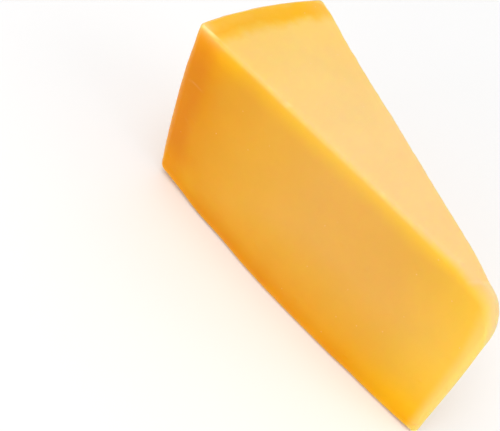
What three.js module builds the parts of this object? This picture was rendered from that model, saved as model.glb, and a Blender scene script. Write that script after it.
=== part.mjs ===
// A wedge of semi-hard cheese: one narrow sector cut from a low round wheel, all one piece.
// The wedge stands on the wheel's flat face. Its thin tip points along +X, the wheel's outer
// skin is at -X, and the two knife-cut faces look towards -Y and +Y.
//
// The solid is a stack of closed rings. Every ring has the same columns, which run round the plan
// outline of the sector: skin, near cut, tip, far cut, skin. Rows that run straight across, from
// the near side to the far side, close the base and the top.

import * as THREE from "three";

// Driving dimensions, in millimetres and radians.
const WHEEL_RADIUS = 125;
const HEIGHT = 63.5;
const HALF_ANGLE = THREE.MathUtils.degToRad(10.5);

// Rounding seen from above.
const TIP_RADIUS = 1.37;
const SKIN_CORNER_RADIUS = 1.8;

// Rounding of the edges round the top and the base. The heel is the moulded edge of the wheel, and
// the cut edges of the base grow as round as it on their way to the skin.
const TOP_EDGE_RADIUS = 1.25;
const BASE_EDGE_RADIUS = 1.5;
const HEEL_RADIUS = 3.8;
const HEEL_LENGTH = 25;

// The near edge of the top is worn rounder over a stretch behind the tip: how much rounder, and the
// distances from the tip at which the wear begins, is greatest and ends.
const EDGE_WEAR = 2.2;
const EDGE_WEAR_BEGIN = 1.6;
const EDGE_WEAR_MOST = 9.5;
const EDGE_WEAR_END = 34;

// A soft wedge spreads at its foot, its cut is a little hollow along the top, and the skin bulges.
const FOOT_SPREAD = 2.6;
const TOP_HOLLOW = 0.5;
const SKIN_BULGE = 1.6;

// The thin tip has sunk: a straight fall first, then a worn, rounded end.
const TIP_FALL_LENGTH = 17.9;
const TIP_FALL_SLOPE = 0.21;
const TIP_FALL_BLEND = 2;
const TIP_END_LENGTH = 6.4;
const TIP_END_DEPTH = 11;

// The base is flat in the middle and lifts a little at both ends.
const BASE_LIFT_LENGTH = 25;
const BASE_LIFT_AT_SKIN = 0.85;
const BASE_LIFT_AT_TIP = 0.8;

// How finely each stretch of the outline and of the height is divided. The columns of the cuts
// crowd towards the tip.
const CUT_STEPS = 28;
const CUT_CROWDING = 1.8;
const TIP_STEPS = 8;
const CORNER_STEPS = 4;
const SKIN_STEPS = 16;
const EDGE_STEPS = 5;
const WALL_STEPS = 8;
const ACROSS_STEPS = 6;

const SMALLEST_RADIUS = 0.25;

// A wall whose outward direction has this much of -X in it is a cut, and with that much it is skin.
const CUT_FACING = 0.2;
const SKIN_FACING = 0.7;

const SKIN_X = -WHEEL_RADIUS;
const TIP_X = TIP_RADIUS - TIP_RADIUS / Math.sin(HALF_ANGLE);

const { clamp, lerp, smoothstep } = THREE.MathUtils;

// Points on an arc, from one angle to another, both ends included.
function arc(centreX, centreY, radius, from, to, steps) {
  const points = [];
  for (let i = 0; i <= steps; i++) {
    const angle = lerp(from, to, i / steps);
    points.push({
      x: centreX + radius * Math.cos(angle),
      y: centreY + radius * Math.sin(angle),
      outX: Math.cos(angle),
      outY: Math.sin(angle),
    });
  }
  return points;
}

// The sector's outline, with its cut sides moved in by cutInset and its skin by skinInset. The
// virtual tip, where the two cuts would meet, is at the origin.
function outline(cutInset, skinInset) {
  const sine = Math.sin(HALF_ANGLE);
  const tipRadius = Math.max(TIP_RADIUS - cutInset, SMALLEST_RADIUS);
  const tipCentre = -(cutInset + tipRadius) / sine;
  const inset = Math.min(cutInset, skinInset);
  const cornerRadius = Math.max(SKIN_CORNER_RADIUS - inset, SMALLEST_RADIUS);
  const cornerReach = WHEEL_RADIUS - skinInset - cornerRadius;
  const cornerTurn = HALF_ANGLE - Math.asin((cutInset + cornerRadius) / cornerReach);
  const cornerX = -cornerReach * Math.cos(cornerTurn);
  const cornerY = cornerReach * Math.sin(cornerTurn);

  // The angle of each wall's outward direction, seen from above.
  const nearCut = HALF_ANGLE - Math.PI / 2;
  const farCut = Math.PI / 2 - HALF_ANGLE;
  const skinFar = Math.PI - cornerTurn;
  const skinNear = Math.PI + cornerTurn;

  const nearSkin = arc(0, 0, WHEEL_RADIUS - skinInset, Math.PI, skinNear, SKIN_STEPS / 2);
  const farSkin = arc(0, 0, WHEEL_RADIUS - skinInset, skinFar, Math.PI, SKIN_STEPS / 2);
  const nearEnd = nearCut + 2 * Math.PI;
  const nearCorner = arc(cornerX, -cornerY, cornerRadius, skinNear, nearEnd, CORNER_STEPS);
  const farCorner = arc(cornerX, cornerY, cornerRadius, farCut, skinFar, CORNER_STEPS);
  const tip = arc(tipCentre, 0, tipRadius, nearCut, farCut, TIP_STEPS);
  return [
    ...nearSkin.slice(0, -1),
    ...nearCorner,
    ...cutPoints(tip[0], nearCorner.at(-1)).reverse(),
    ...tip,
    ...cutPoints(tip.at(-1), farCorner[0]),
    ...farCorner,
    ...farSkin.slice(1, -1),
  ];
}

// The points of a straight cut between the tip and the skin's corner, without its ends.
function cutPoints(tipEnd, skinEnd) {
  const points = [];
  for (let i = 1; i < CUT_STEPS; i++) {
    const share = (i / CUT_STEPS) ** CUT_CROWDING;
    const x = lerp(tipEnd.x, skinEnd.x, share);
    const y = lerp(tipEnd.y, skinEnd.y, share);
    points.push({ x, y, outX: tipEnd.outX, outY: tipEnd.outY });
  }
  return points;
}

// 0 on a cut face and 1 on the wheel's skin.
const skinShare = (point) => smoothstep(-point.outX, CUT_FACING, SKIN_FACING);

// Rounding of the base's edge below a point of the outline.
function footRadius(point) {
  const nearSkin = smoothstep(SKIN_X + HEEL_LENGTH - point.x, 0, HEEL_LENGTH);
  return lerp(BASE_EDGE_RADIUS, HEEL_RADIUS, Math.max(nearSkin, skinShare(point)));
}

// Rounding of the top's edge above a point of the outline.
function rimRadius(point) {
  const fromTip = TIP_X - point.x;
  const begun = smoothstep(fromTip, EDGE_WEAR_BEGIN, EDGE_WEAR_MOST);
  const left = 1 - smoothstep(fromTip, EDGE_WEAR_MOST, EDGE_WEAR_END);
  return TOP_EDGE_RADIUS + (point.outY < 0 ? EDGE_WEAR * begun * left : 0);
}

// Height of the base surface.
function baseHeight(x) {
  const toSkin = clamp((SKIN_X + BASE_LIFT_LENGTH - x) / BASE_LIFT_LENGTH, 0, 1);
  const toTip = clamp((x - TIP_X + BASE_LIFT_LENGTH) / BASE_LIFT_LENGTH, 0, 1);
  return BASE_LIFT_AT_SKIN * toSkin ** 2 + BASE_LIFT_AT_TIP * toTip ** 2;
}

// Height of the top surface.
function topHeight(x) {
  const into = Math.max(x - TIP_X + TIP_FALL_LENGTH, 0);
  const fall = (TIP_FALL_SLOPE * into ** 2) / (into + TIP_FALL_BLEND);
  const end = clamp((x - TIP_X + TIP_END_LENGTH) / TIP_END_LENGTH, 0, 1);
  return HEIGHT - fall - TIP_END_DEPTH * (1 - Math.sqrt(1 - end ** 2));
}

// Moves a point of the straight-walled sector to its place on the settled cheese.
function settle(point, z) {
  const share = skinShare(point);
  const level = clamp(z / HEIGHT, 0, 1);
  const along = clamp((point.x - TIP_X) / (SKIN_X - TIP_X), 0, 1);
  const middle = 4 * along * (1 - along);
  const spread = lerp(FOOT_SPREAD, -TOP_HOLLOW, level) * middle * (1 - share);
  const bulge = SKIN_BULGE * 4 * level * (1 - level) * share;
  return [point.x + point.outX * spread - bulge, point.y + point.outY * spread, z];
}

// A ring of the rounded edge round the base or the top. turn runs from 0, on the flat, to a
// quarter turn, on the wall.
function edgeRing(turn, cutRadius, skinRadius, radiusOf, heightOf) {
  const inward = 1 - Math.sin(turn);
  return outline(cutRadius * inward, skinRadius * inward).map((point) => {
    const radius = radiusOf(point);
    const further = (radius - lerp(cutRadius, skinRadius, skinShare(point))) * inward;
    const x = point.x - point.outX * further;
    const y = point.y - point.outY * further;
    return settle({ ...point, x, y }, heightOf(x, radius * (1 - Math.cos(turn))));
  });
}

// A ring of the walls. level runs from 0, just above the base's edge, to 1, just below the top's.
function wallRing(level) {
  return outline(0, 0).map((point) => {
    const low = baseHeight(point.x) + footRadius(point);
    const high = topHeight(point.x) - rimRadius(point);
    return settle(point, lerp(low, high, level));
  });
}

// All rings, from the rim of the flat base, up the walls, to the rim of the top face.
function allRings() {
  const onBase = (x, rise) => baseHeight(x) + rise;
  const onTop = (x, drop) => topHeight(x) - drop;
  const rings = [];
  for (let i = 0; i <= EDGE_STEPS; i++) {
    const turn = (Math.PI / 2) * (i / EDGE_STEPS);
    rings.push(edgeRing(turn, BASE_EDGE_RADIUS, HEEL_RADIUS, footRadius, onBase));
  }
  for (let i = 1; i < WALL_STEPS; i++) {
    rings.push(wallRing(i / WALL_STEPS));
  }
  for (let i = EDGE_STEPS; i >= 0; i--) {
    const turn = (Math.PI / 2) * (i / EDGE_STEPS);
    rings.push(edgeRing(turn, TOP_EDGE_RADIUS, TOP_EDGE_RADIUS, rimRadius, onTop));
  }
  return rings;
}

// The quads between two lines of vertices, as triangles. A quad that has shrunk to a triangle
// where the lines meet gives one triangle.
function strip(below, above) {
  const triangles = [];
  for (let i = 0; i < below.length - 1; i++) {
    triangles.push([below[i], below[i + 1], above[i + 1]]);
    triangles.push([below[i], above[i + 1], above[i]]);
  }
  return triangles.filter((corners) => new Set(corners).size === 3);
}

// The rows of vertices across a flat, from the skin to the tip. Each row joins a column of the
// flat's rim to the column that faces it. The first and the last row are single vertices.
function acrossRows(rim, vertices) {
  const rows = [];
  for (let column = 0; column <= rim.length / 2; column++) {
    const near = rim[column];
    const far = rim[(rim.length - column) % rim.length];
    const row = [near];
    for (let step = 1; step < ACROSS_STEPS; step++) {
      const [x, nearY, z] = vertices[near];
      const y = lerp(nearY, vertices[far][1], step / ACROSS_STEPS);
      row.push(near === far ? near : vertices.push([x, y, z]) - 1);
    }
    rows.push([...row, far]);
  }
  return rows;
}

// Joins the rings into one closed surface that faces outwards.
function wedgeGeometry() {
  const rings = allRings();
  const columns = rings[0].length;
  const vertices = rings.flat();
  const loops = rings.map((ring, level) => ring.map((vertex, column) => level * columns + column));
  const triangles = [];
  for (let level = 0; level < loops.length - 1; level++) {
    const below = [...loops[level], loops[level][0]];
    const above = [...loops[level + 1], loops[level + 1][0]];
    triangles.push(...strip(below, above));
  }
  const baseRows = acrossRows(loops[0], vertices);
  const topRows = acrossRows(loops.at(-1), vertices);
  for (let i = 0; i < topRows.length - 1; i++) {
    triangles.push(...strip(baseRows[i], baseRows[i + 1]));
    triangles.push(...strip(topRows[i + 1], topRows[i]));
  }
  const geometry = new THREE.BufferGeometry();
  geometry.setAttribute("position", new THREE.Float32BufferAttribute(vertices.flat(), 3));
  geometry.setIndex(triangles.flat());
  geometry.computeVertexNormals();
  return geometry;
}

// The part's origin is under the middle of its bounding box, on the surface that it stands on.
function standOnOrigin(geometry) {
  geometry.computeBoundingBox();
  const { min, max } = geometry.boundingBox;
  geometry.translate(-(min.x + max.x) / 2, -(min.y + max.y) / 2, -min.z);
  return geometry;
}

const paste = new THREE.MeshStandardMaterial({
  name: "cheese_paste",
  color: 0xf3b04a,
  roughness: 0.45,
  metalness: 0,
});

const wedge = new THREE.Mesh(standOnOrigin(wedgeGeometry()), paste);
wedge.name = "cheese_wedge";

const part = new THREE.Group();
part.name = "cheese_wedge_part";
part.add(wedge);

export default part;
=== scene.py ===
# The looks of a wedge of semi-hard cheese, built round its imported CAD solid.
#
# One fine mesh follows the CAD solid's own formula and stands for it. On that come the small
# things that a cut cheese has: a slightly wavy cut with faint drag marks, pinholes and nicks, a
# crumbly rim round the top, and the cloth-pressed skin of the wheel on the back and the base.
# Colour follows depth: the paste is deep orange under the skin and golden in the middle. The top
# face is paler, partly its own colour and partly painted sheen. Painted glow, painted light and
# shade, and painted highlights on the edges and the tip are in the colour too.

import math
import random

import bpy
import numpy as np
from mathutils import Matrix, Vector, noise


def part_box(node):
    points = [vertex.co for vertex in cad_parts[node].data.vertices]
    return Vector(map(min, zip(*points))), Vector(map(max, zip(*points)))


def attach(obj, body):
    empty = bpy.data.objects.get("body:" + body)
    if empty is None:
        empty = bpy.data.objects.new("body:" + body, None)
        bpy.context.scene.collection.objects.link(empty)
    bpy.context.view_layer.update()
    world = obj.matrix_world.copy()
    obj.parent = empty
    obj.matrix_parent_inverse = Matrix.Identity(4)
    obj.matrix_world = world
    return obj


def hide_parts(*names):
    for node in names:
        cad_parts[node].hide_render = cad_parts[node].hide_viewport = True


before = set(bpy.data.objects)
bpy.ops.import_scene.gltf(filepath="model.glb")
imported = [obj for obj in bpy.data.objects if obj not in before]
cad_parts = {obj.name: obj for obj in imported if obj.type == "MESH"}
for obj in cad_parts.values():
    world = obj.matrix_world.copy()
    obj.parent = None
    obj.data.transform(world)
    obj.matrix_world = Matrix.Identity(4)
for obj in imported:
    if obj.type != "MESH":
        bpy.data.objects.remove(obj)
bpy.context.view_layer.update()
node_low, node_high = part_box("cheese_wedge")

MM = 0.001

# The wedge's driving dimensions: those of the CAD solid, from its box where the box holds them.
HALF_ANGLE = math.radians(10.5)
HEIGHT = node_high[2] - node_low[2]
TIP_RADIUS = 1.37 * MM
SKIN_CORNER_RADIUS = 1.8 * MM
SKIN_BULGE = 1.6 * MM
TIP_REACH = TIP_RADIUS / math.sin(HALF_ANGLE) - TIP_RADIUS
WHEEL_RADIUS = node_high[0] - node_low[0] + TIP_REACH - SKIN_BULGE
WHEEL_AXIS_X = node_high[0] + TIP_REACH

TOP_EDGE_RADIUS = 1.25 * MM
BASE_EDGE_RADIUS = 1.5 * MM
HEEL_RADIUS = 3.8 * MM
HEEL_LENGTH = 25 * MM
EDGE_WEAR = 2.2 * MM
EDGE_WEAR_BEGIN = 1.6 * MM
EDGE_WEAR_MOST = 9.5 * MM
EDGE_WEAR_END = 34 * MM
FOOT_SPREAD = 2.6 * MM
TOP_HOLLOW = 0.5 * MM

TIP_FALL_LENGTH = 17.9 * MM
TIP_FALL_SLOPE = 0.21
TIP_FALL_BLEND = 2 * MM
TIP_END_LENGTH = 6.4 * MM
TIP_END_DEPTH = 11 * MM

BASE_LIFT_LENGTH = 25 * MM
BASE_LIFT_AT_SKIN = 0.85 * MM
BASE_LIFT_AT_TIP = 0.8 * MM

# How finely the surface is divided.
CUT_STEPS = 205
CUT_CROWDING = 1.12
HALF_TIP_STEPS = 7
CORNER_STEPS = 8
HALF_SKIN_STEPS = 38
EDGE_STEPS = 8
WALL_STEPS = 98
TOP_ACROSS_STEPS = 54
BASE_ACROSS_STEPS = 32

SMALLEST_RADIUS = 0.2 * MM

# A wall whose outward direction has this much of -X in it is a cut, and with that much it is skin.
CUT_FACING = 0.2
SKIN_FACING = 0.7

SKIN_X = -WHEEL_RADIUS
TIP_X = -TIP_REACH


def smoothstep(value, low, high):
    """0 below low, 1 above high, and a smooth rise between them."""
    share = np.clip((value - low) / (high - low), 0, 1)
    return share * share * (3 - 2 * share)


def lerp(first, second, share):
    """first where share is 0, second where it is 1, and a straight mix between them."""
    return first + (second - first) * share


# ---------------------------------------------------------------- the plan outline

# Until it is placed, the wedge has the wheel's axis at x 0. A line of outline points is an array
# with one row a point: x, y, and the outward direction there.


def arc(centre_x, centre_y, radius, start, end, steps):
    """Points on an arc, both ends included."""
    angle = np.linspace(start, end, steps + 1)
    cosine, sine = np.cos(angle), np.sin(angle)
    return np.stack([centre_x + radius * cosine, centre_y + radius * sine, cosine, sine], axis=1)


def cut_points(tip_end, skin_end):
    """The points of a straight cut from the tip to the skin's corner, without its ends."""
    share = (np.arange(1, CUT_STEPS) / CUT_STEPS)[:, None] ** CUT_CROWDING
    points = tip_end + (skin_end - tip_end) * share
    points[:, 2:] = tip_end[2:]
    return points


def outline(cut_inset, skin_inset):
    """The sector's outline, its cuts moved in by cut_inset and its skin by skin_inset."""
    tip_radius = max(TIP_RADIUS - cut_inset, SMALLEST_RADIUS)
    tip_centre = -(cut_inset + tip_radius) / math.sin(HALF_ANGLE)
    corner_radius = max(SKIN_CORNER_RADIUS - min(cut_inset, skin_inset), SMALLEST_RADIUS)
    corner_reach = WHEEL_RADIUS - skin_inset - corner_radius
    corner_turn = HALF_ANGLE - math.asin((cut_inset + corner_radius) / corner_reach)
    corner_x = -corner_reach * math.cos(corner_turn)
    corner_y = corner_reach * math.sin(corner_turn)

    # The angle of each wall's outward direction, seen from above.
    near_cut = HALF_ANGLE - math.pi / 2
    far_cut = math.pi / 2 - HALF_ANGLE
    skin_near = math.pi + corner_turn
    skin_far = math.pi - corner_turn

    skin = WHEEL_RADIUS - skin_inset
    near_skin = arc(0, 0, skin, math.pi, skin_near, HALF_SKIN_STEPS)
    far_skin = arc(0, 0, skin, skin_far, math.pi, HALF_SKIN_STEPS)
    near_end = near_cut + 2 * math.pi
    near_corner = arc(corner_x, -corner_y, corner_radius, skin_near, near_end, CORNER_STEPS)
    far_corner = arc(corner_x, corner_y, corner_radius, far_cut, skin_far, CORNER_STEPS)
    tip = arc(tip_centre, 0, tip_radius, near_cut, far_cut, 2 * HALF_TIP_STEPS)
    near_wall = cut_points(tip[0], near_corner[-1])[::-1]
    far_wall = cut_points(tip[-1], far_corner[0])
    lines = [near_skin[:-1], near_corner, near_wall, tip, far_wall, far_corner, far_skin[1:-1]]
    return np.concatenate(lines)


def skin_share(points):
    """0 on a cut and 1 on the wheel's skin."""
    return smoothstep(-points[:, 2], CUT_FACING, SKIN_FACING)


# ---------------------------------------------------------------- the settled solid


def base_height(x):
    """Height of the base surface."""
    to_skin = np.clip((SKIN_X + BASE_LIFT_LENGTH - x) / BASE_LIFT_LENGTH, 0, 1)
    to_tip = np.clip((x - TIP_X + BASE_LIFT_LENGTH) / BASE_LIFT_LENGTH, 0, 1)
    return BASE_LIFT_AT_SKIN * to_skin**2 + BASE_LIFT_AT_TIP * to_tip**2


def top_height(x):
    """Height of the top surface, which sinks towards the tip and is worn round at its end."""
    into = np.maximum(x - TIP_X + TIP_FALL_LENGTH, 0)
    fall = TIP_FALL_SLOPE * into**2 / (into + TIP_FALL_BLEND)
    end = np.clip((x - TIP_X + TIP_END_LENGTH) / TIP_END_LENGTH, 0, 1)
    return HEIGHT - fall - TIP_END_DEPTH * (1 - np.sqrt(1 - end**2))


def foot_radius(points):
    """Rounding of the base's edge."""
    near_skin = smoothstep(SKIN_X + HEEL_LENGTH - points[:, 0], 0, HEEL_LENGTH)
    share = np.maximum(near_skin, skin_share(points))
    return BASE_EDGE_RADIUS + (HEEL_RADIUS - BASE_EDGE_RADIUS) * share


def rim_radius(points):
    """Rounding of the top's edge. The near edge is worn rounder behind the tip."""
    from_tip = TIP_X - points[:, 0]
    begun = smoothstep(from_tip, EDGE_WEAR_BEGIN, EDGE_WEAR_MOST)
    left = 1 - smoothstep(from_tip, EDGE_WEAR_MOST, EDGE_WEAR_END)
    return TOP_EDGE_RADIUS + np.where(points[:, 3] < 0, EDGE_WEAR * begun * left, 0)


def cut_spread(x, level):
    """How far a cut stands outside its plane."""
    along = np.clip((x - TIP_X) / (SKIN_X - TIP_X), 0, 1)
    return (FOOT_SPREAD - (FOOT_SPREAD + TOP_HOLLOW) * level) * 4 * along * (1 - along)


def settle(points, z):
    """Moves outline points at heights z to their places on the settled cheese."""
    share = skin_share(points)
    level = np.clip(z / HEIGHT, 0, 1)
    spread = cut_spread(points[:, 0], level) * (1 - share)
    bulge = SKIN_BULGE * 4 * level * (1 - level) * share
    x = points[:, 0] + points[:, 2] * spread - bulge
    y = points[:, 1] + points[:, 3] * spread
    return np.stack([x, y, z], axis=1)


def edge_ring(turn, cut_radius, skin_radius, radius_of, height_of, side):
    """A ring of a rounded edge. turn is 0 on the flat and a quarter turn on the wall, and side is
    1 for the base, whose edge rises, and -1 for the top, whose edge drops."""
    inward = 1 - math.sin(turn)
    points = outline(cut_radius * inward, skin_radius * inward)
    radius = radius_of(points)
    planned = cut_radius + (skin_radius - cut_radius) * skin_share(points)
    points[:, :2] -= points[:, 2:] * ((radius - planned) * inward)[:, None]
    return settle(points, height_of(points[:, 0]) + side * radius * (1 - math.cos(turn)))


def wall_ring(level):
    """A ring of the walls. level is 0 just above the base's edge and 1 just below the top's."""
    points = outline(0, 0)
    low = base_height(points[:, 0]) + foot_radius(points)
    high = top_height(points[:, 0]) - rim_radius(points)
    return settle(points, low + (high - low) * level)


def all_rings():
    """The rings from the rim of the base, up the walls, to the rim of the top."""
    turns = [math.pi / 2 * i / EDGE_STEPS for i in range(EDGE_STEPS + 1)]
    base = [
        edge_ring(turn, BASE_EDGE_RADIUS, HEEL_RADIUS, foot_radius, base_height, 1)
        for turn in turns
    ]
    walls = [wall_ring(i / WALL_STEPS) for i in range(1, WALL_STEPS)]
    top = [
        edge_ring(turn, TOP_EDGE_RADIUS, TOP_EDGE_RADIUS, rim_radius, top_height, -1)
        for turn in reversed(turns)
    ]
    return base + walls + top


def wear_tip(points):
    """Rounds the near top edge over at the worn tip. Points outside a larger rounding move straight
    in towards its centre, until they lie on it."""
    x, y, z = points.T
    left = 1 - smoothstep(TIP_X - x, EDGE_WEAR_MOST, EDGE_WEAR_END)
    radius = TOP_EDGE_RADIUS + EDGE_WEAR * left
    sine, cosine = math.sin(HALF_ANGLE), math.cos(HALF_ANGLE)
    inside = y * cosine - x * sine + cut_spread(x, np.clip(z / HEIGHT, 0, 1))
    below = top_height(x) - z
    reach = np.hypot(inside - radius, below - radius)
    beyond = (inside < radius) & (below < radius) & (reach > radius)
    shrink = np.where(beyond, 1 - radius / np.maximum(reach, radius), 0)
    inward = (radius - inside) * shrink
    down = (radius - below) * shrink
    return points + np.stack([-sine * inward, cosine * inward, -down], axis=1)


# ---------------------------------------------------------------- the mesh


def strip(below, above):
    """The faces between two lines of vertex numbers. Where the lines meet, a face is a triangle."""
    faces = []
    for i in range(len(below) - 1):
        corners = [below[i], below[i + 1], above[i + 1], above[i]]
        faces.append([c for k, c in enumerate(corners) if c != corners[k - 1]])
    return [face for face in faces if len(face) > 2]


def rows_across(rim, vertices, steps):
    """Rows of vertex numbers across a flat, from the skin to the tip. A row joins a column of the
    rim to the column that faces it. Its inner vertices are added to vertices."""
    rows = []
    for column in range(len(rim) // 2 + 1):
        near, far = rim[column], rim[-column]
        row = [near]
        for step in range(1, steps):
            if near != far:
                vertices.append(vertices[near] + (vertices[far] - vertices[near]) * step / steps)
            row.append(near if near == far else len(vertices) - 1)
        rows.append(row + [far])
    return rows


def wedge_mesh():
    """The smooth wedge as a mesh, placed in the row frame."""
    rings = all_rings()
    columns = len(rings[0])
    vertices = [vertex for ring in rings for vertex in ring]
    loops = [list(range(i * columns, (i + 1) * columns)) for i in range(len(rings))]
    faces = []
    for below, above in zip(loops, loops[1:]):
        faces += strip(below + below[:1], above + above[:1])
    base_rows = rows_across(loops[0], vertices, BASE_ACROSS_STEPS)
    top_rows = rows_across(loops[-1], vertices, TOP_ACROSS_STEPS)
    for row, following in zip(base_rows, base_rows[1:]):
        faces += strip(row, following)
    for row, following in zip(top_rows, top_rows[1:]):
        faces += strip(following, row)
    points = wear_tip(np.array(vertices)) + [WHEEL_AXIS_X, 0, node_low[2]]
    mesh = bpy.data.meshes.new("cheese")
    mesh.from_pydata(points.tolist(), [], faces)
    mesh.update()
    return mesh


def vertex_array(mesh, what):
    """The places ("co") or normals ("normal") of a mesh's vertices, one row each."""
    values = np.empty(3 * len(mesh.vertices))
    mesh.vertices.foreach_get(what, values)
    return values.reshape(-1, 3)


# ---------------------------------------------------------------- where a point lies


# The base's colour at a depth is the back's at BASE_RIPENESS plus BASE_RIPENING times that depth.
BASE_RIPENESS = 4 * MM
BASE_RIPENING = 1.7
SKIN_BLEND = 2.5 * MM

# A point belongs to the top, the base or the back as its normal has this much of that direction in
# it: not at all up to the first number, and fully from the second.
TOP_FACING = (0.3, 0.95)
BASE_FACING = (0.5, 0.98)
BACK_FACING = (0.35, 0.9)


def measure(points, normals):
    """What the relief and the colours need to know about each point of the smooth wedge."""
    x = points[:, 0] - WHEEL_AXIS_X
    z = points[:, 2] - node_low[2]
    reach = np.hypot(x, points[:, 1])
    level = np.clip(z / HEIGHT, 0, 1)
    from_back = WHEEL_RADIUS + SKIN_BULGE * 4 * level * (1 - level) - reach
    from_base = z - base_height(x)
    from_top = top_height(x) - z
    across = np.abs(points[:, 1])
    from_cut = cut_spread(x, level) - x * math.sin(HALF_ANGLE) - across * math.cos(HALF_ANGLE)
    # The base ripens less than the back does, and the two meet in a soft corner.
    as_back = BASE_RIPENESS + BASE_RIPENING * from_base
    nearest = np.exp(-from_back / SKIN_BLEND) + np.exp(-as_back / SKIN_BLEND)
    return {
        "from_skin": np.maximum(-SKIN_BLEND * np.log(nearest), 0),
        "from_edge": np.maximum(np.minimum(from_back, from_base), 0),
        "from_back": np.maximum(from_back, 0),
        "from_base": np.maximum(from_base, 0),
        "from_top": np.maximum(from_top, 0),
        "from_tip": np.maximum(TIP_X - x, 0),
        "from_ridge": np.hypot(from_top, from_cut),
        "upward": smoothstep(normals[:, 2], *TOP_FACING),
        "base_face": smoothstep(-normals[:, 2], *BASE_FACING),
        "back_face": smoothstep(-normals[:, 0], *BACK_FACING),
    }


# ---------------------------------------------------------------- relief


# Noise is stretched by this, so that it spans about -1 to 1.
NOISE_GAIN = 1.6

# Kinds of ripple: how wide the swells are, how high, and where in the noise they are taken from.
CUT_RIPPLES = ((26 * MM, 0.16 * MM, 3), (8 * MM, 0.05 * MM, 11))
RIM_RIPPLES = ((1.6 * MM, 0.05 * MM, 31), (4.5 * MM, 0.05 * MM, 37))
SKIN_RIPPLES = ((7 * MM, 0.10 * MM, 43), (2.4 * MM, 0.045 * MM, 47))
CRUMBLE_WIDTH = 1.3 * MM
CRUMBLE_FACING = (0.9, 1)
# The base was pressed flatter than the back, by this share.
BASE_SMOOTHING = 0.6

# The knife's drag marks: the size of one, its height, and the size of the patches they come in.
DRAG_MARK = np.array([1.1, 1.1, 40]) * MM
DRAG_HEIGHT = 0.022 * MM
DRAG_PATCH = 18 * MM
DRAG_PATCH_SPAN = (-0.3, 0.5)

PINHOLES = 46
PINHOLE_RADIUS = (0.5 * MM, 1.0 * MM)
PINHOLE_DEPTH = (0.10 * MM, 0.34 * MM)
PINHOLE_CLEARANCE = 3 * MM
PINHOLE_ON_CUT = 0.95
PINHOLE_SEED = 7

# Where this wedge stands a little proud of its plain shape or below it: place, reach and height,
# in millimetres.
UNEVEN = (
    ((60.0, 0.0, 30.0), 18.0, 0.30),
    ((55.0, 1.0, 61.0), 6.0, 0.35),
    ((-20.0, 15.3, 63.4), 7.0, -0.15),
    ((-47.0, 21.0, 63.0), 7.0, 0.35),
    ((-45.0, -22.0, 2.0), 8.0, -0.45),
    ((-25.0, -20.5, 2.0), 13.0, -0.55),
    ((35.0, -6.5, 1.5), 9.0, -0.20),
)


def ripples(points, size, shift):
    """Smooth noise from about -1 to 1, with swells about as wide as size, which is one number or
    one for each axis. shift picks another stretch of the noise."""
    return np.array([noise.noise(Vector(p)) for p in points / size + shift]) * NOISE_GAIN


def rippled(points, kinds):
    """The height that some kinds of ripple give together."""
    return sum(height * ripples(points, size, shift) for size, height, shift in kinds)


def bell(distance, width):
    """1 at no distance, falling softly to about a third at width."""
    return np.exp(-((distance / width) ** 2))


def pinholes(points, spots, draw):
    """How deep each point lies in a round hole at one of the spots."""
    depth = np.zeros(len(points))
    for spot in spots:
        radius = draw.uniform(*PINHOLE_RADIUS)
        deep = draw.uniform(*PINHOLE_DEPTH)
        away = np.linalg.norm(points - spot, axis=1)
        depth = np.maximum(depth, deep * bell(away, radius / math.sqrt(2)))
    return depth


def unevenness(points):
    """The outward move of each point that the uneven places give."""
    height = np.zeros(len(points))
    for centre, reach, rise in UNEVEN:
        away = np.linalg.norm(points - np.array(centre) * MM, axis=1)
        height += rise * MM * bell(away, reach * MM)
    return height


def relief(points, normals, place):
    """How far each point of the smooth wedge moves out along its normal."""
    on_skin = np.maximum(place["back_face"], place["base_face"])
    on_cut = 1 - on_skin

    # The knife leaves a slightly wavy face and faint lines down its stroke.
    dragged = smoothstep(ripples(points, DRAG_PATCH, 21), *DRAG_PATCH_SPAN)
    drag = DRAG_HEIGHT * ripples(points, DRAG_MARK, 5) * dragged

    # The rim round the top crumbles a little.
    rim = bell(place["from_top"], CRUMBLE_WIDTH) * (1 - smoothstep(normals[:, 2], *CRUMBLE_FACING))

    draw = random.Random(PINHOLE_SEED)
    clear = place["from_top"] + place["from_tip"] > PINHOLE_CLEARANCE
    candidates = np.flatnonzero((on_cut > PINHOLE_ON_CUT) & clear)
    spots = [points[candidates[draw.randrange(len(candidates))]] for _ in range(PINHOLES)]
    holes = pinholes(points, spots, draw)

    # The skin keeps the press of the mould's cloth and is a little lumpy.
    lumps = rippled(points, SKIN_RIPPLES) * (1 - place["base_face"] * BASE_SMOOTHING)

    cut = rippled(points, CUT_RIPPLES) + drag + rim * rippled(points, RIM_RIPPLES) - holes
    return unevenness(points) + on_cut * cut + on_skin * lumps


# ---------------------------------------------------------------- where the colours lie


# The top's pale colour ends in a slanting, ragged line across the wedge at this distance from the
# tip, and a thin painted highlight runs along it.
TOP_END = 10.6 * MM
TOP_END_SLANT = 0.5
TOP_END_RAGGED = 0.35 * MM
TOP_END_RAG = 2 * MM
TOP_END_FADE = (-1.6 * MM, 0.4 * MM)
# The thin painted highlight along the top's end: how far past the end, how wide, and how bright.
TOP_LINE_AT = 0.2 * MM
TOP_LINE_WIDTH = 0.35 * MM
TOP_LINE_HIGHLIGHT = 0.3

# The top's colour, with its painted sheen, reaches over its rim by this, this strongly.
OVER_RIM = 1.3 * MM
OVER_RIM_SHARE = 0.85

# A painted highlight covers the tip's rounded end for a short way from the tip, and further towards
# the top.
TIP_HIGHLIGHT_LENGTH = 4 * MM
TIP_HIGHLIGHT_EXTRA = 3.5 * MM
TIP_HIGHLIGHT_EXTRA_REACH = 22 * MM

# The top at the tip, which is paler: how deep its colour reaches below it, where it ends at the
# rest of the top, and where it fades out towards the near cut.
TIP_TOP_DEPTH = (0.5 * MM, 4 * MM)
TIP_TOP_END = (-0.4 * MM, 1.2 * MM)
TIP_TOP_ACROSS = (-4 * MM, 2 * MM)
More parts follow.
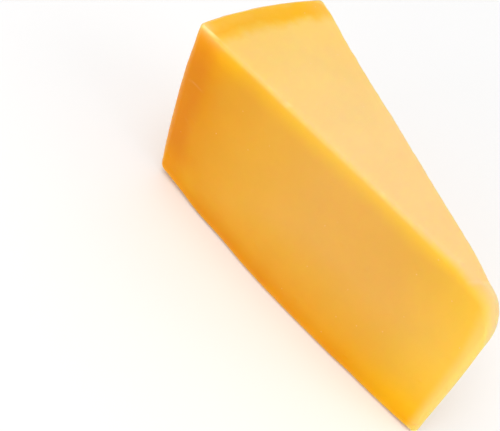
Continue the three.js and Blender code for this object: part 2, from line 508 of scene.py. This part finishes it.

# Pale places on the rim, partly worn crumbs and partly painted highlight: their width, and how pale
# they are in patches and everywhere.
PALE_RIM_WIDTH = 0.8 * MM
PALE_RIM_PATCH = 3.5 * MM
PALE_RIM_PATCH_SPAN = (0.55, 1.0)
PALE_RIM_PATCHES = 0.35
PALE_RIM_ANYWHERE = 0.15
# Where the paleness begins behind the skin and behind the top's end, and where it fades to patches.
PALE_RIM_FROM_BACK = (0.3 * MM, 1.5 * MM)
PALE_RIM_FROM_TIP = (TOP_END, 12 * MM)
PALE_RIM_BESIDE_SKIN = (4.5 * MM, 10 * MM)
RIM_FACING = (0.95, 1)

# Towards the skin, the paleness of the rim, partly painted highlight, spreads a little over the cut
# and more over the top, and most widely over the far side of the top.
CORNER_WIDTH = 2.4 * MM
CORNER_ON_CUT = 0.36
CORNER_ON_TOP = 0.60
CORNER_FADE_ON_CUT = (5 * MM, 18 * MM)
CORNER_FADE_ON_TOP = (0, 8 * MM)
FAR_WIDTH = 6 * MM
FAR_PALENESS = 0.2
FAR_ACROSS = (0, 12 * MM)
FAR_FADE = (9 * MM, 20 * MM)

# Shallow scratches from the knife, each from one point to another, in millimetres.
SCRATCHES = (
    ((-55.0, -22.5, 43.0), (-47.7, -21.3, 43.5)),
    ((-52.0, -22.2, 30.0), (-47.0, -21.2, 26.0)),
    ((-20.0, -17.0, 22.0), (-19.0, -16.9, 29.0)),
    ((-41.0, 12.0, 63.5), (-33.0, 15.5, 63.5)),
    ((-36.0, 4.0, 63.5), (-31.0, 9.0, 63.5)),
    ((-53.0, 7.0, 63.5), (-47.5, 5.0, 63.5)),
    ((-54.0, 14.0, 63.5), (-48.0, 11.5, 63.5)),
    ((-20.0, 19.0, 40.0), (-31.0, 21.0, 47.0)),
)
SCRATCH_WIDTH = 0.3 * MM
SCRATCH_BOW = 0.6 * MM
SCRATCH_PALENESS = 0.14
SCRATCH_ENDS = 0.05


def beyond_end(points, place):
    """How far each point is from the top's slanting, ragged end, towards the skin."""
    ragged = TOP_END_RAGGED * ripples(points, TOP_END_RAG, 61)
    return place["from_tip"] + TOP_END_SLANT * points[:, 1] + ragged - TOP_END


def top_share(points, place):
    """1 on the top, whose pale colour, partly painted sheen, reaches a little over its rim; 0
    elsewhere.
    """
    over = OVER_RIM_SHARE * bell(place["from_top"], OVER_RIM)
    pale_top = smoothstep(beyond_end(points, place), *TOP_END_FADE)
    return np.maximum(place["upward"], over) * pale_top


def tip_highlight_share(place):
    """1 on the tip's rounded end, which has a painted highlight, and 0 elsewhere."""
    higher = smoothstep(place["from_top"], TIP_HIGHLIGHT_EXTRA_REACH, 0)
    return 1 - smoothstep(place["from_tip"], 0, TIP_HIGHLIGHT_LENGTH + TIP_HIGHLIGHT_EXTRA * higher)


def tip_top_share(points, place):
    """1 on the paler top at the tip, 0 elsewhere. It fades out towards the near cut."""
    high = 1 - smoothstep(place["from_top"], *TIP_TOP_DEPTH)
    inside = 1 - smoothstep(beyond_end(points, place), *TIP_TOP_END)
    return high * inside * smoothstep(points[:, 1], *TIP_TOP_ACROSS)


def rim_share(normals, place, width):
    """1 on the rim round the top, and 0 on the top itself and a few widths below it."""
    return bell(place["from_top"], width) * (1 - smoothstep(normals[:, 2], *RIM_FACING))


def rim_wear_and_highlight(points, normals, place):
    """The rim's wear and painted highlight: strong beside the skin, and elsewhere in small patches.
    """
    begun = smoothstep(place["from_back"], *PALE_RIM_FROM_BACK)
    begun = begun * smoothstep(place["from_tip"], *PALE_RIM_FROM_TIP)
    beside_skin = 1 - smoothstep(place["from_back"], *PALE_RIM_BESIDE_SKIN)
    patches = PALE_RIM_PATCHES * smoothstep(ripples(points, PALE_RIM_PATCH, 53), *PALE_RIM_PATCH_SPAN)
    paleness = np.maximum(beside_skin, patches + PALE_RIM_ANYWHERE)
    return rim_share(normals, place, PALE_RIM_WIDTH) * begun * paleness


def corner_wear_and_highlight(points, place):
    """How pale the surface round the top's edges is towards the skin, in wear and painted
    highlight.
    """
    on_top = place["upward"]
    fade_begins = lerp(CORNER_FADE_ON_CUT[0], CORNER_FADE_ON_TOP[0], on_top)
    fade_ends = lerp(CORNER_FADE_ON_CUT[1], CORNER_FADE_ON_TOP[1], on_top)
    beside_corner = 1 - smoothstep(place["from_back"], fade_begins, fade_ends)
    most = lerp(CORNER_ON_CUT, CORNER_ON_TOP, on_top)
    corner = most * bell(place["from_ridge"], CORNER_WIDTH) * beside_corner

    far_side = smoothstep(points[:, 1], *FAR_ACROSS)
    beside_skin = 1 - smoothstep(place["from_back"], *FAR_FADE)
    far = FAR_PALENESS * bell(place["from_ridge"], FAR_WIDTH) * on_top * far_side * beside_skin
    return np.maximum(corner, far)


def scratches(points):
    """How pale each point is from the scratches."""
    lines = np.zeros(len(points))
    for start, end in np.array(SCRATCHES) * MM:
        run = end - start
        share = np.clip((points - start) @ run / (run @ run), 0, 1)
        bowed = start + share[:, None] * run
        bowed[:, 2] += SCRATCH_BOW * np.sin(math.pi * share)
        away = np.linalg.norm(points - bowed, axis=1)
        fading = np.sin(math.pi * np.clip(share, SCRATCH_ENDS, 1 - SCRATCH_ENDS))
        lines = np.maximum(lines, SCRATCH_PALENESS * bell(away, SCRATCH_WIDTH) * fading)
    return lines


def wear_and_highlights(points, normals, place):
    """How pale each point is: the rim is pale in wear and painted highlight, a thin painted
    highlight runs along the top's end at the tip, and scratches are pale."""
    # A thin painted highlight along the top's end at the tip.
    off_line = beyond_end(points, place) - TOP_LINE_AT
    top_line = TOP_LINE_HIGHLIGHT * bell(off_line, TOP_LINE_WIDTH) * place["upward"]
    paleness = np.maximum(rim_wear_and_highlight(points, normals, place), corner_wear_and_highlight(points, place))
    return np.maximum(paleness, np.maximum(top_line, scratches(points)))


# ---------------------------------------------------------------- material


class Nodes:
    """A small builder for a material's nodes."""

    def __init__(self, name):
        self.material = bpy.data.materials.new(name)
        self.material.use_nodes = True
        self.tree = self.material.node_tree
        self.tree.nodes.clear()

    def add(self, kind, inputs=None, **settings):
        """A new node. inputs maps a socket's name or number to a value or to another socket."""
        node = self.tree.nodes.new(kind)
        for key, value in settings.items():
            setattr(node, key, value)
        for key, value in (inputs or {}).items():
            if isinstance(value, bpy.types.NodeSocket):
                self.tree.links.new(value, node.inputs[key])
            else:
                node.inputs[key].default_value = value
        return node

    def attribute(self, name):
        """A number stored on the mesh."""
        return self.add("ShaderNodeAttribute", attribute_name=name).outputs["Fac"]

    def math(self, operation, first, second=0.0):
        """One sum."""
        return self.add("ShaderNodeMath", {0: first, 1: second}, operation=operation).outputs[0]

    def rise(self, value, low, high, start=0.0, end=1.0):
        """A smooth rise from start to end while value goes from low to high."""
        inputs = {"Value": value, "From Min": low, "From Max": high, "To Min": start, "To Max": end}
        node = self.add("ShaderNodeMapRange", inputs, interpolation_type="SMOOTHSTEP")
        return node.outputs["Result"]

    def fall(self, value, low, high, most=1.0):
        """A smooth fall from most to 0 while value goes from low to high."""
        return self.rise(value, low, high, most, 0.0)

    def mix(self, share, first, second, blend="MIX"):
        """A mix of two colours."""
        inputs = {MIX_SHARE: share, MIX_FIRST: first, MIX_SECOND: second}
        node = self.add("ShaderNodeMix", data_type="RGBA", blend_type=blend)
        for key, value in inputs.items():
            if isinstance(value, bpy.types.NodeSocket):
                self.tree.links.new(value, node.inputs[key])
            else:
                node.inputs[key].default_value = value
        return node.outputs[MIX_RESULT]

    def ramp(self, value, stops):
        """A colour that follows value, a share of COLOUR_REACH, through (depth, colour) stops."""
        node = self.add("ShaderNodeValToRGB", {"Fac": value})
        elements = node.color_ramp.elements
        while len(elements) < len(stops):
            elements.new(0.5)
        for element, (depth, colour) in zip(elements, stops):
            element.position = depth / COLOUR_REACH
            element.color = colour
        return node.outputs["Color"]

    def stretch(self, vector, sizes):
        """The vector measured in the given sizes, so that noise on it is stretched."""
        inputs = {0: vector, 1: sizes}
        return self.add("ShaderNodeVectorMath", inputs, operation="DIVIDE").outputs[0]

    def noise(self, vector, size, detail=2.0, roughness=0.5):
        """Noise from 0 to 1 with features about as wide as size."""
        inputs = {"Vector": vector, "Scale": 1 / size, "Detail": detail, "Roughness": roughness}
        return self.add("ShaderNodeTexNoise", inputs).outputs["Fac"]


# The sockets of a Mix node that mixes colours.
MIX_SHARE, MIX_FIRST, MIX_SECOND = 0, 6, 7
MIX_RESULT = 2

# What is stored on the mesh for the material: distances, in millimetres, and masks, from 0 to 1.
DISTANCES = ("from_skin", "from_edge", "from_back", "from_base", "from_top", "from_tip")
MASKS = ("top_face", "skin_face", "tip_highlight", "tip_top", "rim", "wear_and_highlights")

# The paste's colour at depths below the skin, in millimetres, on the cuts and on the top, whose
# paler colour further from the skin is partly painted sheen.
COLOUR_REACH = 60.0
CUT_COLOURS = (
    (0.0, (0.71, 0.240, 0.003, 1)),
    (7.0, (0.72, 0.242, 0.003, 1)),
    (12.0, (0.755, 0.306, 0.007, 1)),
    (20.0, (0.77, 0.352, 0.020, 1)),
    (38.0, (0.785, 0.402, 0.042, 1)),
    (60.0, (0.787, 0.418, 0.076, 1)),
)
TOP_COLOURS = (
    (0.0, (0.895, 0.500, 0.050, 1)),
    (3.0, (0.895, 0.495, 0.050, 1)),
    (5.5, (0.88, 0.450, 0.028, 1)),
    (8.0, (0.895, 0.525, 0.062, 1)),
    (11.5, (0.90, 0.595, 0.165, 1)),
    (30.0, (0.90, 0.600, 0.205, 1)),
    (60.0, (0.90, 0.610, 0.250, 1)),
)
# Noise from 0 to 1 seldom leaves this span.
NOISE_SPAN = (0.3, 0.7)
# How far the colours wander from their depths, everywhere and along the top's fibres.
WANDER = 1.2
WANDER_SIZE = 14 * MM
FIBRE_WANDER = 1.1
FIBRE_SIZE = (9 * MM, 5 * MM, 9 * MM)
FIBRE_SPAN = (0.25, 0.75)

# Where the wedge is thin, and just under the top, light passes through it. Its glow is painted into
# the paste's colour, brighter and yellower. Each fades out over distances from the tip and from the
# top.
PAINTED_GLOW_GAIN = (1.12, 1.35, 0.74, 1)
GLOW_FADE_FROM_TIP = (-8.0, 32.0)
GLOW_FADE_FROM_TOP = (-1.0, 9.0)
# Painted light and glow in other places: the colour's gain, and the distances over which it fades
# out, all in millimetres.
PAINTED_LIGHT_GAINS = (
    # Painted glow under the top beside the skin, brighter and more saturated.
    ((1.10, 1.17, 0.35, 1), (("from_top", 3.0, 17.0), ("from_back", 12.0, 26.0))),
    # Painted light along the base, against the shade where it meets the floor.
    ((1.15, 1.30, 0.9, 1), (("from_base", 0.0, 5.0),)),
    # Painted light on the foot, more and more towards the tip.
    ((1.06, 1.12, 0.3, 1), (("from_base", 5.0, 18.0), ("from_tip", 8.0, 60.0))),
    # Painted light on the heel, whose rounded foot faces down into shade.
    ((1.08, 1.24, 0.8, 1), (("from_base", 6.0, 18.0), ("from_back", 6.0, 24.0))),
    # Painted glow high at the tip, yellower.
    ((1.0, 1.02, 0.78, 1), (("from_top", 4.0, 24.0), ("from_tip", 20.0, 45.0))),
)
# Painted shade on the rim round the top, a little darker and less yellow, and the width it spreads
# over.
RIM_PAINTED_SHADE = (0.95, 0.92, 1.0, 1)
RIM_SHADE_WIDTH = 1.0 * MM

# A painted sheen on the rounded edges beside the skin and the base: its colour, its reach from the
# edge in millimetres, and how much it covers.
SKIN_EDGE_SHEEN = (0.85, 0.46, 0.110, 1)
SKIN_EDGE_SHEEN_REACH = 2.6
SKIN_EDGE_SHEEN_COVER = 0.5
# The painted highlight on the tip's rounded end, and how much it covers.
TIP_HIGHLIGHT = (0.88, 0.65, 0.200, 1)
TIP_HIGHLIGHT_COVER = 0.75
TIP_TOP = (0.83, 0.66, 0.32, 1)

# The ripe band on the top: the depths where it begins and ends, how far across it grows, and how
# much it covers on the far side.
RIPE_TOP = (0.90, 0.465, 0.008, 1)
RIPE_BEGINS = (1.5, 3.0)
RIPE_ENDS = (5.0, 9.0)
RIPE_ACROSS = (-12 * MM, 16 * MM)
RIPE_COVER = 0.8

# The wheel's skin is blotched between these two colours.
RIPE_SKIN = (0.75, 0.285, 0.012, 1)
PALE_SKIN = (0.84, 0.395, 0.042, 1)
SKIN_COVER = 0.75
SKIN_SPAN = (0.35, 0.65)
BLOTCH_SIZE = 7 * MM
BLOTCH_SHARE = (0.0, 0.7)
PORE_SIZE = 1.3 * MM
PORE_SHARE = (-0.2, 0.3)

# The colour of the pale places: wear, crumbs and scratches, and painted highlights.
PALE_MARKS_AND_HIGHLIGHTS = (0.97, 0.70, 0.32, 1)
MOTTLE = 0.015
MOTTLE_SIZE = 16 * MM
# Small white crystals. The radius where one begins and ends to fade is a share of their spacing.
CRYSTAL = (0.95, 0.60, 0.36, 1)
CRYSTAL_SPACING = 5.4 * MM
CRYSTAL_RADIUS = (0.025, 0.050)
CRYSTAL_COVER = 0.55

# Under its surface, the paste scatters light over a few millimetres, and red the furthest.
SCATTER = 5 * MM
SCATTER_OF_COLOURS = (1.0, 0.5, 0.15)
IOR = 1.42
SPECULAR = 0.10
ROUGHNESS = (0.38, 0.50)
SHEEN_SIZE = 5 * MM
# The finest relief: orange peel everywhere, and grain on the skin.
PEEL_SIZE = 0.9 * MM
PEEL_SHARE = 0.6
GRAIN_SIZE = 0.45 * MM
BUMP_STRENGTH = 0.25
BUMP_HEIGHT = 0.05 * MM


def paste_colour(nodes, place, stored):
    """The depth below the skin, which wanders a little, and the paste's colour there with painted
    light.
    """
    wander = nodes.rise(nodes.noise(place, WANDER_SIZE), *NOISE_SPAN, -WANDER, WANDER)
    depth = nodes.math("ADD", stored["from_skin"], wander)
    paste = nodes.ramp(nodes.math("DIVIDE", depth, COLOUR_REACH), CUT_COLOURS)
    # Painted glow of light passing through, near the tip and just under the top.
    near_tip = nodes.fall(stored["from_tip"], *GLOW_FADE_FROM_TIP)
    near_top = nodes.fall(stored["from_top"], *GLOW_FADE_FROM_TOP)
    paste = nodes.mix(nodes.math("MAXIMUM", near_tip, near_top), paste, PAINTED_GLOW_GAIN, "MULTIPLY")
    # Painted light and glow in other places.
    for gain, fades in PAINTED_LIGHT_GAINS:
        share = 1.0
        for name, begins, ends in fades:
            share = nodes.math("MULTIPLY", nodes.fall(stored[name], begins, ends), share)
        paste = nodes.mix(share, paste, gain, "MULTIPLY")
    # Painted sheen on the edges beside the skin and the base.
    skin_edge_sheen = nodes.fall(stored["from_edge"], 0.0, SKIN_EDGE_SHEEN_REACH, SKIN_EDGE_SHEEN_COVER)
    paste = nodes.mix(skin_edge_sheen, paste, SKIN_EDGE_SHEEN)
    # Painted highlight on the tip's rounded end.
    tip_highlight = nodes.math("MULTIPLY", stored["tip_highlight"], TIP_HIGHLIGHT_COVER)
    return depth, nodes.mix(tip_highlight, paste, TIP_HIGHLIGHT)


def top_colour_and_sheen(nodes, place, depth):
    """The top's colour, partly painted sheen. A ripe band runs along the skin, most ripe on its far
    side.
    """
    fibres = nodes.noise(nodes.stretch(place, FIBRE_SIZE), 1.0, 3.0)
    wander = nodes.rise(fibres, *FIBRE_SPAN, -FIBRE_WANDER, FIBRE_WANDER)
    depth = nodes.math("ADD", depth, wander)
    pale_top = nodes.ramp(nodes.math("DIVIDE", depth, COLOUR_REACH), TOP_COLOURS)
    band = nodes.math("MULTIPLY", nodes.rise(depth, *RIPE_BEGINS), nodes.fall(depth, *RIPE_ENDS))
    across = nodes.add("ShaderNodeSeparateXYZ", {"Vector": place}).outputs["Y"]
    ripe = nodes.math("MULTIPLY", band, nodes.rise(across, *RIPE_ACROSS, 0.0, RIPE_COVER))
    return nodes.mix(ripe, pale_top, RIPE_TOP)


def skin_colour(nodes, place):
    """The colour of the wheel's skin, in blotches and pores."""
    blotches = nodes.rise(nodes.noise(place, BLOTCH_SIZE, 5.0, 0.6), *SKIN_SPAN, *BLOTCH_SHARE)
    pores = nodes.rise(nodes.noise(place, PORE_SIZE, 3.0), *SKIN_SPAN, *PORE_SHARE)
    return nodes.mix(nodes.math("ADD", blotches, pores), RIPE_SKIN, PALE_SKIN)


def surface_bump(nodes, place, skin_face):
    """The bumped normal: fine orange peel on the cuts, and grain on the skin too."""
    peel = nodes.math("MULTIPLY", nodes.noise(place, PEEL_SIZE, 3.0), PEEL_SHARE)
    grain = nodes.math("MULTIPLY", nodes.noise(place, GRAIN_SIZE, 4.0, 0.65), skin_face)
    height = nodes.math("ADD", peel, grain)
    inputs = {"Height": height, "Strength": BUMP_STRENGTH, "Distance": BUMP_HEIGHT}
    return nodes.add("ShaderNodeBump", inputs).outputs["Normal"]


def cheese_material():
    """Paste, skin and top as one translucent, waxy material, with painted light, shade and sheen.
    """
    nodes = Nodes("cheese")
    place = nodes.add("ShaderNodeTexCoord").outputs["Object"]
    stored = {name: nodes.attribute(name) for name in DISTANCES + MASKS}
    depth, paste = paste_colour(nodes, place, stored)
    # The top's paler colour, partly painted sheen.
    colour = nodes.mix(stored["top_face"], paste, top_colour_and_sheen(nodes, place, depth))
    colour = nodes.mix(stored["tip_top"], colour, TIP_TOP)
    # Painted shade along the rim round the top.
    colour = nodes.mix(stored["rim"], colour, RIM_PAINTED_SHADE, "MULTIPLY")
    skin_cover = nodes.math("MULTIPLY", stored["skin_face"], SKIN_COVER)
    colour = nodes.mix(skin_cover, colour, skin_colour(nodes, place))

    # Uneven ripening, pale wear, scratches and painted highlights, and small white crystals.
    ripening = nodes.noise(place, MOTTLE_SIZE, 3.0)
    mottle = nodes.rise(ripening, *NOISE_SPAN, 1 - MOTTLE, 1 + MOTTLE)
    shade = nodes.add("ShaderNodeCombineColor", {"Red": mottle, "Green": mottle, "Blue": mottle})
    colour = nodes.mix(1.0, colour, shade.outputs[0], "MULTIPLY")
    colour = nodes.mix(stored["wear_and_highlights"], colour, PALE_MARKS_AND_HIGHLIGHTS)
    cells = nodes.add("ShaderNodeTexVoronoi", {"Vector": place, "Scale": 1 / CRYSTAL_SPACING})
    crystal = nodes.fall(cells.outputs["Distance"], *CRYSTAL_RADIUS, CRYSTAL_COVER)
    colour = nodes.mix(crystal, colour, CRYSTAL)

    shader = nodes.add(
        "ShaderNodeBsdfPrincipled",
        {
            "Base Color": colour,
            "Roughness": nodes.rise(nodes.noise(place, SHEEN_SIZE, 3.0), *NOISE_SPAN, *ROUGHNESS),
            "Normal": surface_bump(nodes, place, stored["skin_face"]),
            "IOR": IOR,
            "Specular IOR Level": SPECULAR,
            "Subsurface Weight": 1.0,
            "Subsurface Radius": SCATTER_OF_COLOURS,
            "Subsurface Scale": SCATTER,
            "Subsurface Anisotropy": 0.0,
        },
    )
    nodes.add("ShaderNodeOutputMaterial", {"Surface": shader.outputs["BSDF"]})
    return nodes.material


# ---------------------------------------------------------------- the wedge


def store(mesh, name, values):
    """Keeps one number a vertex on the mesh, for the material to read."""
    attribute = mesh.attributes.new(name, "FLOAT", "POINT")
    attribute.data.foreach_set("value", np.asarray(values, dtype=np.float32))


def make_wedge():
    """The finished wedge, which stands for the CAD solid."""
    mesh = wedge_mesh()
    points = vertex_array(mesh, "co")
    normals = vertex_array(mesh, "normal")
    place = measure(points, normals)
    moved = points + normals * relief(points, normals, place)[:, None]
    moved[:, 2] = np.maximum(moved[:, 2], node_low[2])
    mesh.vertices.foreach_set("co", moved.ravel())
    mesh.polygons.foreach_set("use_smooth", [True] * len(mesh.polygons))
    for name in DISTANCES:
        store(mesh, name, place[name] / MM)
    store(mesh, "top_face", top_share(points, place))
    store(mesh, "tip_highlight", tip_highlight_share(place))
    store(mesh, "tip_top", tip_top_share(points, place))
    # Where the painted shade on the rim lies.
    store(mesh, "rim", rim_share(normals, place, RIM_SHADE_WIDTH))
    store(mesh, "wear_and_highlights", wear_and_highlights(points, normals, place))
    store(mesh, "skin_face", np.maximum(place["back_face"], place["base_face"]))
    mesh.update()
    mesh.materials.append(cheese_material())
    wedge = bpy.data.objects.new("cheese_surface", mesh)
    bpy.context.scene.collection.objects.link(wedge)
    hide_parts("cheese_wedge")
    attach(wedge, "root")


# ---------------------------------------------------------------- the studio


FLOOR_HALF = 6
FLOOR_WHITE = (0.95, 0.95, 0.95, 1)
FLOOR_ROUGHNESS = 0.9

# Square softboxes that face the wedge: name, azimuth, elevation, side and power.
SOFTBOXES = (
    ("key", 350, 78, 1.2, 10),
    ("front", 15, 12, 1.0, 5.6),
    ("side", 110, 30, 1.0, 3.3),
)
SOFTBOX_DISTANCE = 1.5
SURROUND_STRENGTH = 0.62

# The camera looks down on the near cut, and is rolled, so that the wedge seems to lean.
VIEW_AZIMUTH = 41.38
VIEW_ELEVATION = 47.23
VIEW_ROLL = 21.87
VIEW_AIM = Vector((-8.92 * MM, -25.04 * MM, HEIGHT / 2))
VIEW_DISTANCE = 287.64 * MM
VIEW_LENS = 71.87
SENSOR_WIDTH = 36
NEAREST_SEEN = 0.01


def make_floor():
    """A plain pale floor."""
    nodes = Nodes("floor")
    inputs = {"Base Color": FLOOR_WHITE, "Roughness": FLOOR_ROUGHNESS}
    shader = nodes.add("ShaderNodeBsdfPrincipled", inputs)
    nodes.add("ShaderNodeOutputMaterial", {"Surface": shader.outputs["BSDF"]})
    mesh = bpy.data.meshes.new("floor")
    signs = ((-1, -1), (1, -1), (1, 1), (-1, 1))
    corners = [(FLOOR_HALF * x, FLOOR_HALF * y, 0) for x, y in signs]
    mesh.from_pydata(corners, [], [(0, 1, 2, 3)])
    mesh.materials.append(nodes.material)
    floor = bpy.data.objects.new("floor", mesh)
    bpy.context.scene.collection.objects.link(floor)


def direction(azimuth, elevation):
    """The direction from the object towards a place at that azimuth and elevation, in degrees."""
    a, e = math.radians(azimuth), math.radians(elevation)
    return Vector((math.sin(a) * math.cos(e), -math.cos(a) * math.cos(e), math.sin(e)))


def make_softbox(name, azimuth, elevation, side, power):
    """A square area light that faces the middle of the wedge."""
    light = bpy.data.lights.new(name, "AREA")
    light.shape = "SQUARE"
    light.size = side
    light.energy = power
    away = direction(azimuth, elevation)
    box = bpy.data.objects.new(name, light)
    box.location = Vector((0, 0, HEIGHT / 2)) + away * SOFTBOX_DISTANCE
    box.rotation_euler = (-away).to_track_quat("-Z", "Y").to_euler()
    bpy.context.scene.collection.objects.link(box)


def make_surround():
    """An even white surround."""
    world = bpy.data.worlds.new("studio")
    world.use_nodes = True
    background = world.node_tree.nodes["Background"]
    background.inputs["Color"].default_value = (1, 1, 1, 1)
    background.inputs["Strength"].default_value = SURROUND_STRENGTH
    bpy.context.scene.world = world


def make_camera():
    """The camera, at VIEW_DISTANCE from the point it aims at."""
    camera = bpy.data.cameras.new("camera")
    camera.lens = VIEW_LENS
    camera.sensor_width = SENSOR_WIDTH
    camera.clip_start = NEAREST_SEEN
    away = direction(VIEW_AZIMUTH, VIEW_ELEVATION)
    look = (-away).to_track_quat("-Z", "Y").to_matrix().to_4x4()
    roll = Matrix.Rotation(math.radians(VIEW_ROLL), 4, "Z")
    view = bpy.data.objects.new("camera", camera)
    view.matrix_world = Matrix.Translation(VIEW_AIM + away * VIEW_DISTANCE) @ look @ roll
    bpy.context.scene.collection.objects.link(view)
    bpy.context.scene.camera = view


make_wedge()
make_floor()
for softbox in SOFTBOXES:
    make_softbox(*softbox)
make_surround()
make_camera()
bpy.context.scene.view_settings.view_transform = "Standard"
